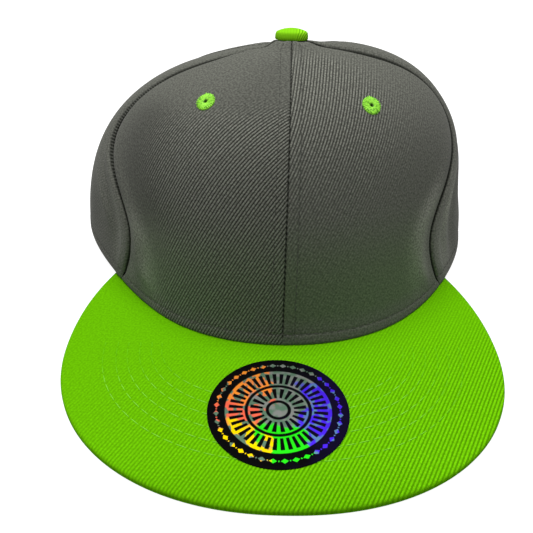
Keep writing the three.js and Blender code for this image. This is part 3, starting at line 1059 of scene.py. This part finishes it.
def panel_grid(panel):
    """Share and height for each row and column, close together where the cloth is sewn."""
    heights, widths, climbs = MEASURES[panel.name]
    rows = np.arange(HEM_STEPS[-1] + PANEL_ROW_STEP, climbs[-1], PANEL_ROW_STEP)
    height = np.interp(np.concatenate([HEM_STEPS, rows, climbs[-1:]]), climbs, heights)
    width = np.interp(height, heights, widths)[:, None]
    near = np.array(PANEL_STEPS)[None] * np.minimum(1, width / NARROW) / width
    edge = near[:, -1:]
    middle = edge + (1 - 2 * edge) * np.linspace(0, 1, PANEL_MIDDLE + 2)[None, 1:-1]
    share = np.concatenate([near, middle, 1 - near[:, ::-1]], 1)
    if panel.side < 0:
        share = share[:, ::-1]
    return share, np.repeat(height[:, None], share.shape[1], 1)


def turning(path, normal):
    """Lengths and unit directions of a path's steps, and how far it turns about the normal at each point."""
    step = np.diff(path, axis=0)
    length = np.linalg.norm(step, axis=-1)
    unit = step / length[..., None]
    sine = (np.cross(unit[:-1], unit[1:]) * normal[1:-1]).sum(-1)
    return length, unit, np.arctan2(sine, (unit[:-1] * unit[1:]).sum(-1))


def laid_flat(points, normals):
    """Where a curved sheet's points lie when it is laid flat, upwards along its middle column."""
    middle = points.shape[1] // 2
    length, spine, turn = turning(points[:, middle], normals[:, middle])
    heading = math.pi / 2 + running_total(turn)
    place = running_total(length[:, None] * joined(np.cos(heading), np.sin(heading)))
    heading = np.append(heading, heading[-1])
    spine = np.concatenate([spine, spine[-1:]])
    flat = np.zeros(points.shape[:2] + (2,))
    for columns in (slice(middle, None), slice(middle, None, -1)):
        row, normal = points[:, columns].swapaxes(0, 1), normals[:, columns].swapaxes(0, 1)
        length, unit, turn = turning(row, normal)
        sine = (np.cross(unit[0], spine) * normal[0]).sum(-1)
        start = heading - np.arctan2(sine, (unit[0] * spine).sum(-1))
        angle = start + running_total(turn)
        away = place + running_total(length[..., None] * joined(np.cos(angle), np.sin(angle)))
        flat[:, columns] = away.swapaxes(0, 1)
    return flat


def twill_show(panel, share, height):
    """How plainly the twill's ribs show: faint at the top, where this stands in for the light showing little
    of their relief, and beside the side seams.
    """
    if panel.name == "front_left":
        top = fade(0.60, 0.74, height + 0.10 * share)
        return top * fade(0.58, 0.78, share) * (0.8 + 0.2 * smooth_step(0.05, 0.4, height))
    if panel.name == "front_right":
        up = 0.12 + 0.75 * smooth_step(0.05, 0.62, height)
        across = 1 - 0.85 * smooth_step(0.30, 0.66, share - 0.35 * (height - 0.4))
        return up * across * fade(0.86, 0.97, height)
    if panel.first == "side":
        return 0.12 + 0.3 * smooth_step(0.35, 0.7, share)
    return np.full_like(share, 0.42)


def crown_panel(panel):
    share, height = panel_grid(panel)
    azimuth = panel_azimuth(panel, share, height)
    outer, _ = dressed_point(panel, share, height)
    _, to_seam, along, stitches = dressing(panel, share, height)
    lean = math.radians(TWILL_ANGLES.get(panel.name, OTHER_TWILL_ANGLE))
    along_ribs = np.array([[math.cos(lean), math.sin(lean)], [-math.sin(lean), math.cos(lean)]])
    flat = laid_flat(crown_point(azimuth, height), crown_normal(azimuth, height))
    # painted light and shade on this panel's cloth
    tone = 1 + patches(PAINTED_LIGHT_AND_SHADE, panel.name, share, height)
    maps = (
        ("cloth", flat @ along_ribs),
        ("seam", joined(to_seam, along)),
        ("finish", joined(twill_show(panel, share, height), stitches)),
        ("tone", joined(tone, painted_bill_bounce(panel, share, height))),
    )
    piece = wall_piece(panel.name + "_panel_cloth", outer, crown_wall(azimuth, height, WALL), maps)
    painted(piece, "crown")
    half_length = 8.0
    rod = lathe_points([(EYELET_HOLE, -half_length), (EYELET_HOLE, half_length)], 40)
    cut_away(piece, own_frame_piece("cutter", rod, eyelet_matrix(panel)))
    if panel.second == "back":
        cut_away(piece, arch_cutter())
    return piece


# Things set in their own frame, +Z outwards


def own_frame_piece(name, sections, matrix, maps=(), closed=False):
    """A lathed piece given in millimetres in its own frame, and set in place by a matrix in metres."""
    piece = ring_piece(name, sections, maps, closed)
    piece.data.transform(matrix @ Matrix.Translation(-Vector(SHIFT)))
    return piece


def eyelet_matrix(panel):
    share, height = np.array(EYELET_SIDE_PLACE if panel.first == "side" else EYELET_PLACE)[:, None]
    azimuth = panel_azimuth(panel, share, height)
    place = Vector(in_frame(crown_point(azimuth, height)[0]))
    turn = Vector(crown_normal(azimuth, height)[0]).to_track_quat("Z", "Y")
    return Matrix.Translation(place) @ turn.to_matrix().to_4x4()


def arch_cutter():
    angle = np.linspace(0, math.pi, 97)
    outline = joined(ARCH_HALF_WIDTH * np.cos(angle), ARCH_HEIGHT * np.sin(angle))
    below = -6.0
    outline = np.concatenate([[(ARCH_HALF_WIDTH, below)], outline, [(-ARCH_HALF_WIDTH, below)]])
    near_and_far = (CROWN_CENTRE_Y + 22.0, CROWN_CENTRE_Y + 112.0)
    sections = [joined(outline[:, 0], y, outline[:, 1]) for y in near_and_far]
    return ring_piece("cutter", np.array(sections)[:, ::-1])


def eyelet(panel, seed):
    """An embroidered ring: a low body through the cloth, covered in radial threads."""
    profile = [
        (EYELET_BORE, 0.05),
        (EYELET_BORE + 0.35, 0.36),
        (EYELET_BORE + 1.1, 0.5),
        (EYELET_RADIUS - 1.3, 0.44),
        (EYELET_RADIUS - 0.5, 0.25),
        (EYELET_RADIUS - 0.25, -0.1),
        (EYELET_RADIUS - 0.4, -WALL - 0.1),
        (EYELET_RADIUS - 0.9, -WALL - 0.3),
        (EYELET_BORE + 0.4, -WALL - 0.3),
        (EYELET_BORE, -WALL),
    ]
    sections = np.swapaxes(lathe_points(profile, 48), 0, 1)
    piece = own_frame_piece(panel.name + "_eyelet_sewn", sections, Matrix.Identity(4), closed=True)
    values = {"Count": 27, "Middle Radius": 0.00245, "Length": 0.0038, "Width": 0.00078, "Height": 0.0006}
    values.update({"Lift": 0.00035, "Unevenness": 0.22, "Seed": seed, "Material": MATERIALS["eyelet"]})
    run_tree(piece, EYELET_THREADS, values)
    piece.data.transform(eyelet_matrix(panel))
    return piece


def button():
    """A flattened dome, covered in the bill's cloth, which is gathered in under its edge."""
    side = (
        (-6.1, 0.0), (-4.0, 0.0), (-1.2, -0.05), (-0.2, -0.1), (0.05, 0.3), (0.12, 0.8), (0.08, 1.4),
        (0.0, 2.0), (-0.12, 2.5), (-0.27, 2.85), (-0.47, 3.1), (-0.72, BUTTON_SHOULDER),
    )
    profile = [(BUTTON_RADIUS + out, height) for out, height in side]
    rim = profile[-1][0]
    dome = BUTTON_HEIGHT + 0.25 - BUTTON_SHOULDER
    profile += [(r, BUTTON_SHOULDER + dome * (1 - (r / rim) ** 2)) for r in np.linspace(rim, 0.3, 14)[1:]]
    points = lathe_points(profile, 96)
    gathers = 0.008 * np.sin(17 * np.arctan2(points[..., 1], points[..., 0]))
    points[..., :2] *= (1 + gathers * fade(0, 1.8, points[..., 2]))[..., None]
    drop = np.maximum(0, BUTTON_SHOULDER - points[..., 2])
    cloth = points[..., :2] * (1 + drop / BUTTON_RADIUS)[..., None]
    turn = Matrix.Rotation(math.radians(-BUTTON_TILT), 4, "X")
    place = Matrix.Translation(Vector(in_frame(TOP + UP * BUTTON_LIFT)))
    return painted(own_frame_piece("button_cover", points, place @ turn, (("cloth", cloth),)), "button")


# Bill

BILL_STATIONS = 230
BILL_TOP_STEPS = 96
BILL_EDGE_STEPS = 23
BILL_LOW_STEPS = 30
BILL_EDGE_SQUARENESS = 2.6
BILL_EDGE_DEPTH = 1.9
ROW_DENT = 0.26  # how far a row of stitches sinks in
ROW_DENT_WIDTH = 0.9
STITCH_SINK = 0.12


def bill_reach(azimuth):
    """From the crown's centre to the bill's outline, found by halving."""
    angle = np.radians(azimuth)
    low, high = np.zeros_like(angle), np.full_like(angle, 2 * BILL_BACK_REACH)
    for _ in range(40):
        middle = (low + high) / 2
        x, y = middle * np.sin(angle), CROWN_CENTRE_Y - middle * np.cos(angle)
        front = np.abs(x / BILL_HALF_WIDTH) ** BILL_SQUARENESS
        front = front + np.abs(y / BILL_FRONT_REACH) ** BILL_SQUARENESS
        back = (x / BILL_HALF_WIDTH) ** 2 + (y / BILL_BACK_REACH) ** 2
        within = np.where(y < 0, front, back) < 1
        low, high = np.where(within, middle, low), np.where(within, high, middle)
    return low


def row_distance(x, y, half_width, reach):
    """Roughly how far a place on the bill is from a row of stitches."""
    q = np.abs(x / half_width) ** BILL_SQUARENESS + np.abs(y / reach) ** BILL_SQUARENESS
    q = q ** (1 / BILL_SQUARENESS)
    return np.where(y < 0, (q - 1) * np.hypot(x, y) / np.maximum(q, 0.01), 99.0)


def bill():
    """The stiffened bill: two layers of twill, sewn down in rows, meeting in a seam round its edge."""
    azimuth = np.linspace(-BILL_END, BILL_END, BILL_STATIONS)[:, None]
    outer = bill_reach(azimuth) - BILL_EDGE_DEPTH
    inner = crown_column("reach", azimuth) - WALL
    angle = np.radians(azimuth)
    mid = BILL_THICKNESS / 2

    def ring(radius, z):
        return joined(radius * np.sin(angle), CROWN_CENTRE_Y - radius * np.cos(angle), z)

    top = ring(inner + (outer - inner) * np.linspace(0, 1, BILL_TOP_STEPS), BILL_THICKNESS)
    for half_width, reach in BILL_ROWS:
        away = row_distance(top[..., 0], top[..., 1], half_width, reach)
        top[..., 2] -= ROW_DENT * bump(away, 0, ROW_DENT_WIDTH)
    turn = np.linspace(math.pi / 2, -math.pi / 2, BILL_EDGE_STEPS)[1:-1]
    power = 2 / BILL_EDGE_SQUARENESS
    edge_z = mid + mid * signed_power(np.sin(turn), power)
    edge_out = BILL_EDGE_DEPTH * np.cos(turn) ** power - 0.3 * bump(edge_z, mid, 0.28)
    low = ring(inner + (outer - inner) * np.linspace(1, 0, BILL_LOW_STEPS), 0.0)
    sections = np.concatenate([top, ring(outer + edge_out, edge_z), low], 1)
    x, y, z = np.moveaxis(sections, -1, 0)
    # How plainly the ribs show is painted to follow the light: most towards the front and the right
    show = np.clip(0.50 + 0.0040 * x - 0.0060 * (y + 30), 0.08, 0.84)
    show = show * (1 - 0.7 * smooth_step(-15, 45, y)) * (0.4 + 0.6 * smooth_step(2.6, 3.4, z))
    maps = (("cloth", sections[..., :2]), ("finish", joined(show, show)))
    return painted(ring_piece("bill_cloth", sections, maps), "bill")


def bill_stitches():
    paths = []
    angle = np.linspace(math.pi, 2 * math.pi, 400)
    power = 2 / BILL_SQUARENESS
    for half_width, reach in BILL_ROWS:
        x, y = half_width * signed_power(np.cos(angle), power), reach * signed_power(np.sin(angle), power)
        azimuth = np.degrees(np.arctan2(x, CROWN_CENTRE_Y - y))
        clear = np.hypot(x, y - CROWN_CENTRE_Y) > crown_column("reach", azimuth) + 1.2
        points = joined(x, y, BILL_THICKNESS - STITCH_SINK)[clear]
        paths.append((points, np.tile(UP, (len(points), 1))))
    return stitch_piece(
        "bill_stitches", paths, BILL_STITCH, BILL_STITCH_PITCH, "bill_stitch", BILL_STITCH_SEED
    )


def crown_stitches():
    """A row beside every seam on both its sides, and one round the hem."""
    paths = []

    def add_path(panel, share, height, clear):
        points, normals = dressed_point(panel, share, height, STITCH_LIFT)
        keep = clear(points) if panel.second == "back" else slice(None)
        paths.append((points[keep], normals[keep]))

    for panel in PANELS:
        heights, widths, climbs = MEASURES[panel.name]
        height = np.interp(np.arange(HEM_WIDTH + 1.5, climbs[-1], 1.0), climbs, heights)
        width = np.interp(height, heights, widths)
        height, width = height[width > NARROW / 2], width[width > NARROW / 2]
        share = TOPSTITCH * np.minimum(1, width / NARROW) / width
        if panel.first != "side":
            add_path(panel, share, height, lambda points: slice(None))
        if panel.first != "front":
            add_path(panel, 1 - share, height, lambda points: points[:, 2] > ARCH_HEIGHT + 2)
        share = np.linspace(0.01, 0.99, 90)
        height = np.full_like(share, np.interp(HEM_WIDTH, climbs, heights))
        add_path(panel, share, height, lambda points: np.abs(points[:, 0]) > ARCH_HALF_WIDTH + 1)
    return stitch_piece(
        "crown_stitches", paths, CROWN_STITCH, STITCH_PITCH, "crown_stitch", CROWN_STITCH_SEED
    )


# Inside and back


def sweatband():
    """A folded cotton band round the inside, with its foot beside the bill."""
    azimuth, row = np.meshgrid(np.linspace(-SWEATBAND_END, SWEATBAND_END, 260), np.linspace(0, 1, 26))
    height = SWEATBAND_HEIGHT * row
    depth = WALL + LINER_GAP
    outer = crown_wall(azimuth, height, depth)
    rounding = 0.45 * (bump(row, 1, 0.04) + bump(row, 0, 0.04))
    swell = 0.35 * bump(row, 0.93, 0.05) - 0.2 * bump(row, 0.84, 0.02)
    inner = crown_wall(azimuth, height, depth + SWEATBAND_THICKNESS + swell - rounding)
    foot = fade(BILL_END - 6, BILL_END, np.abs(azimuth))
    drop = (GAP - SWEATBAND_FOOT_DROP * foot) * fade(0, 0.12, row)
    outer[..., 2] += drop
    inner[..., 2] += drop
    arc, climb = 1.6, 110  # millimetres to one degree round the crown, and from the rim to the top
    cloth = joined(azimuth * arc, height * climb)
    return painted(wall_piece("sweatband_cotton", outer, inner, (("cloth", cloth),)), "band")


def strap():
    """The plain moulded strap across the back opening, with soft edges."""
    azimuth = np.linspace(STRAP_FROM, 360 - STRAP_FROM, 90)
    turn = np.arange(40) / 40 * math.tau
    lift, out = signed_power(np.sin(turn), 0.28), signed_power(np.cos(turn), 0.5)
    middle, half = (STRAP_LOW + STRAP_HIGH) / 2, (STRAP_HIGH - STRAP_LOW) / 2
    azimuth, height = np.meshgrid(azimuth, middle + half * lift, indexing="ij")
    depth = WALL + LINER_GAP + STRAP_THICKNESS / 2 * (1 - np.broadcast_to(out, azimuth.shape))
    sections = crown_wall(azimuth, height, depth)
    return painted(ring_piece("strap_moulding", sections[:, ::-1]), "strap")


def back_place(x, z):
    """Azimuth and height where the back of the crown has this x and z, found by small steps."""
    usual_reach, usual_climb = 95.0, 125.0
    turn, rise = 0.1, 0.001
    azimuth = 180 - np.degrees(np.arctan2(x, usual_reach))
    height = np.clip(z / usual_climb, 0.01, 0.9)
    for _ in range(12):
        here = crown_point(azimuth, height)[..., (0, 2)]
        by_azimuth = crown_point(azimuth + turn, height)[..., (0, 2)] - here
        by_height = crown_point(azimuth, height + rise)[..., (0, 2)] - here
        gap_x, gap_z = x - here[..., 0], z - here[..., 1]
        det = by_azimuth[..., 0] * by_height[..., 1] - by_azimuth[..., 1] * by_height[..., 0]
        azimuth = azimuth + turn * (gap_x * by_height[..., 1] - gap_z * by_height[..., 0]) / det
        height = height + rise * (gap_z * by_azimuth[..., 0] - gap_x * by_azimuth[..., 1]) / det
        height = np.clip(height, 0, 0.95)
    return azimuth, height


def arch_binding():
    """The folded tape that binds the cut edge of the back opening."""
    angle = np.radians(np.linspace(3, 177, 130))
    # Distance from the opening's edge and depth into the wall, round one section of the tape
    leg, thick = 8.0, 0.55
    section = [(leg, -0.05), (leg - 0.3, -thick), (4.0, -thick - 0.12), (0.8, -thick - 0.05), (-0.35, -0.1)]
    section += [(-0.75, 0.9), (-0.35, 2.1), (0.8, WALL + thick), (4.0, WALL + thick + 0.1)]
    section += [(leg - 0.3, WALL + thick), (leg, WALL + 0.05)]
    section += [(leg - 0.4, WALL - 0.1), (0.6, WALL - 0.1), (0.6, 0.15), (leg - 0.4, 0.15)]
    rings = []
    for away, depth in section:
        x = (ARCH_HALF_WIDTH + away) * np.cos(angle)
        z = (ARCH_HEIGHT + away) * np.sin(angle)
        rings.append(crown_wall(*back_place(x, z), depth))
    across = running_total([math.dist(p, q) for p, q in zip(section, section[1:])])
    cloth = np.stack(np.meshgrid(np.degrees(angle), across, indexing="ij"), -1)
    plain = np.ones_like(cloth)
    maps = (("cloth", cloth), ("seam", 20 * plain), ("finish", 0.45 * plain), ("tone", plain * (1, 0)))
    return painted(ring_piece("arch_binding_cloth", np.stack(rings, 1), maps), "crown")


def sticker():
    rise = [(0.01, 0.0), (0.985, 0.0), (1.0, 0.35), (1.0, 0.75), (0.996, 1.0)]
    rise += [(share, 1.0) for share in np.linspace(0.95, 0.05, 12)]
    points = lathe_points(np.array(rise) * (STICKER_RADIUS, STICKER_THICKNESS), 160)
    disc = points[..., :2] / STICKER_RADIUS
    points += (STICKER_X, STICKER_Y, BILL_THICKNESS + STICKER_GAP)
    return painted(ring_piece("round_sticker", points, (("disc", disc),)), "foil")


# Studio

# Place, diameter and power of each lamp
LAMPS = {
    "overhead": ((-0.08, 0.16, 1.45), 0.9, 25.5),
    "front": ((-0.2, -1.5, 1.2), 1.0, 2.0),
    "left": ((-1.4, -0.1, 0.35), 0.8, 1.2),
    "right": ((1.4, -0.1, 0.35), 0.8, 1.2),
}
LIT_PLACE = Vector((0.0, 0.0, 0.05))
WORLD_LIGHT = 0.17
PAPER_SHADE = (0.25, 0.25, 0.25, 1)
PAPER_GLOW = 0.3
PAPER_GLOW_SEEN = 0.66  # added where the camera looks straight at it


def seen_more(tree, plain, added):
    """Paper white in the picture, though it throws less light than that on the cap."""
    return new_value(tree, "ShaderNodeLightPath", output="Is Camera Ray") * added + plain


def floor_and_backdrop():
    """One pale sheet that lies under the cap and rises far behind it."""
    profile = [(-3.0, 0.0), (1.6, 0.0)]
    profile += [(1.6 + math.sin(a), 1 - math.cos(a)) for a in np.linspace(0.1, math.pi / 2, 14)]
    profile += [(2.6, 3.0)]
    points = [(x, y, z) for y, z in profile for x in (-4.0, 4.0)]
    faces = [(2 * k, 2 * k + 1, 2 * k + 3, 2 * k + 2) for k in range(len(profile) - 1)]
    mesh = bpy.data.meshes.new("floor")
    mesh.from_pydata(points, [], faces)
    mesh.shade_smooth()
    material, tree, shader = new_material("pale paper", 0.95, specular=0.1)
    shader.inputs["Base Color"].default_value = PAPER_SHADE
    feed(shader.inputs["Emission Color"], seen_more(tree, PAPER_GLOW, PAPER_GLOW_SEEN))
    shader.inputs["Emission Strength"].default_value = 1.0
    mesh.materials.append(material)
    return new_object("floor", mesh)


def soft_light(name, place, size, power):
    light = bpy.data.lights.new(name, "AREA")
    light.shape = "DISK"
    light.size = size
    light.energy = power
    lamp = new_object(name, light)
    lamp.location = place
    lamp.rotation_euler = (LIT_PLACE - Vector(place)).to_track_quat("-Z", "Y").to_euler()
    return lamp


def set_up_studio():
    scene = bpy.context.scene
    scene.world = bpy.data.worlds.new("studio")
    scene.world.use_nodes = True
    tree = scene.world.node_tree
    backdrop = tree.nodes["Background"].inputs
    backdrop["Color"].default_value = (1, 1, 1, 1)
    feed(backdrop["Strength"], seen_more(tree, WORLD_LIGHT, 1 - WORLD_LIGHT))
    scene.view_settings.view_transform = "Standard"
    staging = [floor_and_backdrop(), *(soft_light(name, *lamp) for name, lamp in LAMPS.items())]


def set_up_camera():
    lens = bpy.data.cameras.new("camera")
    lens.sensor_width = SENSOR
    lens.lens = CAMERA_FOCAL_SHARE * SENSOR
    lens.clip_start, lens.clip_end = 0.01, 20
    camera = new_object("camera", lens)
    right, up = Vector(CAMERA_RIGHT), -Vector(CAMERA_DOWN)
    turn = Matrix((right, up, right.cross(up))).transposed().to_4x4()
    camera.matrix_world = Matrix.Translation(Vector(in_frame(CAMERA_PLACE))) @ turn
    bpy.context.scene.camera = camera


# The finished pieces


def dress(piece, slot, *nodes):
    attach(piece, "root")
    if nodes:
        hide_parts(*nodes)


for order, panel in enumerate(PANELS):
    dress(crown_panel(panel), "crown_twill", panel.name + "_panel")
    dress(eyelet(panel, EYELET_SEED + order), "eyelet_thread", panel.name + "_eyelet")
dress(crown_stitches(), "crown_twill")
dress(arch_binding(), "crown_twill")
dress(bill(), "bill_twill", "bill")
dress(bill_stitches(), "bill_twill")
dress(button(), "bill_twill", "top_button")
dress(sweatband(), "band_cotton", "sweatband")
dress(strap(), "strap_plastic", "snap_strap")
dress(sticker(), "sticker_foil", "bill_sticker")
set_up_studio()
set_up_camera()
